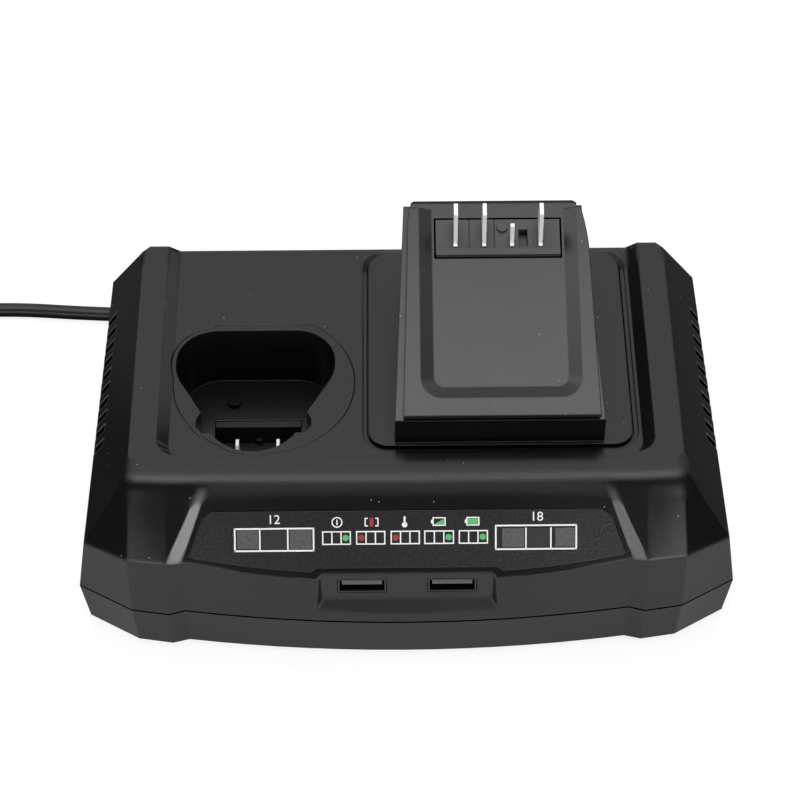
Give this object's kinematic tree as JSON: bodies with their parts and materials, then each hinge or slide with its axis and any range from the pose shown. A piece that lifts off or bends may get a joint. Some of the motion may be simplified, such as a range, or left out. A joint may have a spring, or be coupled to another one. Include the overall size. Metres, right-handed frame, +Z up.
{
  "type": "battery charger",
  "caption": "Mains charger for power tool batteries, with a sloping dock for a large sliding pack, a well for a small pack, charging sockets in front and a mains lead.",
  "frame": {"origin": "on the table, under the middle of the casing", "axes": "+Z up, +X to the right seen from the front, front towards -Y"},
  "size_m": [0.304, 0.1637, 0.0923],
  "materials": {
    "casing": "black moulded plastic, satin, fine grain",
    "dock": "black moulded plastic, satin, fine grain",
    "well": "black moulded plastic",
    "carrier": "dark grey moulded plastic",
    "terminal": "nickel-plated",
    "screw": "zinc-plated",
    "shell": "drawn steel shell",
    "tongue": "moulded insulator",
    "contact": "gilt contacts",
    "label": null,
    "lens": "frosted light window",
    "led": "light-emitting diode",
    "board": "green circuit board",
    "ferrite": "ferrite core",
    "winding": "taped winding",
    "heatsink": "folded aluminium",
    "component": "moulded component body",
    "capacitor": "sleeved aluminium can",
    "choke": "enamelled copper wire on a ring core",
    "fuse": "glass cartridge",
    "wire": "insulated wire",
    "rubber": "black rubber",
    "cord": "black flexible cord sheath",
    "plug": "black moulded plug"
  },
  "bodies": {
    "root": {"upper_casing": "casing", "lower_casing": "casing", "rubber_feet": "rubber", "casing_screws": "screw", "dock_housing": "dock", "dock_screws": "screw", "terminal_carrier": "carrier", "carrier_screws": "screw", "dock_power_blades": "terminal", "dock_sense_blade": "terminal", "pack_well": "well", "well_screw": "screw", "well_contact_block": "carrier", "well_contacts": "terminal", "socket_shells": "shell", "socket_tongues": "tongue", "socket_contacts": "contact", "socket_board": "board", "socket_screws": "screw", "panel_label": "label", "light_windows": "lens", "indicator_board": "board", "indicator_leds": "led", "indicator_screws": "screw", "main_board": "board", "board_screws": "screw", "transformer_core": "ferrite", "transformer_winding": "winding", "heatsinks": "heatsink", "power_semiconductors": "component", "bulk_capacitor": "capacitor", "output_capacitors": "capacitor", "filter_choke": "choke", "fuse": "fuse", "bridge_rectifier": "component", "control_chips": "component", "dock_wires": "wire", "mains_leads": "wire", "socket_wires": "wire", "strain_relief": "rubber", "cord_tube": "cord", "cord_tail": "cord", "cord_coil": "cord", "plug": "plug", "plug_blades": "terminal"}
  },
  "joints": []
}
